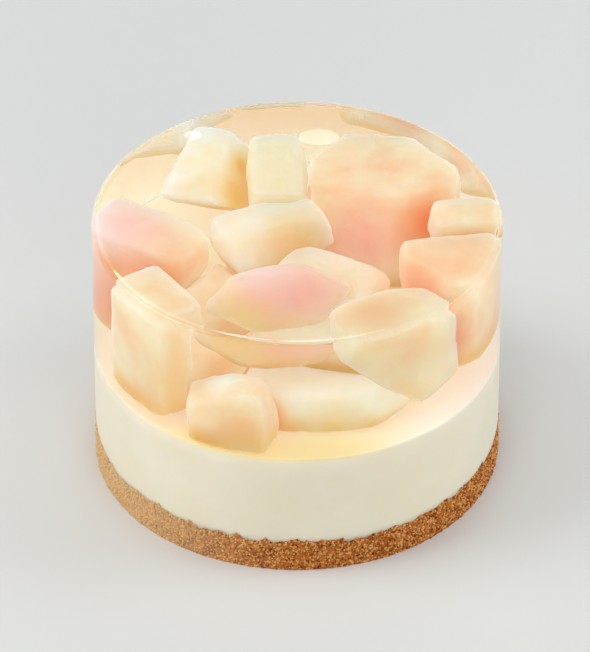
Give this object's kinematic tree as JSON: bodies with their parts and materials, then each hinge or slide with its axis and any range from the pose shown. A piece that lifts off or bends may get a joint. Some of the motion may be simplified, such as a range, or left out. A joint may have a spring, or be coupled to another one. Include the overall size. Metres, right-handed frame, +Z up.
{
  "type": "peach jelly cheesecake",
  "caption": "Round unmoulded no-bake cheesecake: pressed biscuit crumb base, set cream cheese layer, and a clear straight-sided peach jelly holding chunks of peach.",
  "frame": {"origin": "middle of the flat underside of the crumb base", "axes": "+Z up, the cake's own axis; -Y faces the viewer, +X is the viewer's right"},
  "size_m": [0.1, 0.1, 0.069],
  "materials": {
    "biscuit_crumb": "rough pressed crumb",
    "cream_cheese": "smooth, soft sheen",
    "peach_jelly": "clear, wet gloss",
    "peach_pink": "wet, translucent flesh near the skin",
    "peach_flesh": "wet, translucent flesh",
    "peach_pale": "wet, translucent pale flesh"
  },
  "bodies": {
    "root": {"crust": "biscuit_crumb", "cheesecake": "cream_cheese", "jelly": "peach_jelly", "peach_left": "peach_pink", "peach_back_left": "peach_flesh", "peach_back_middle": "peach_pale", "peach_big": "peach_pink", "peach_right_back": "peach_flesh", "peach_right": "peach_pink", "peach_front_right": "peach_pale", "peach_half_moon": "peach_pink", "peach_front_low": "peach_flesh", "peach_front_left": "peach_pale"}
  },
  "joints": []
}
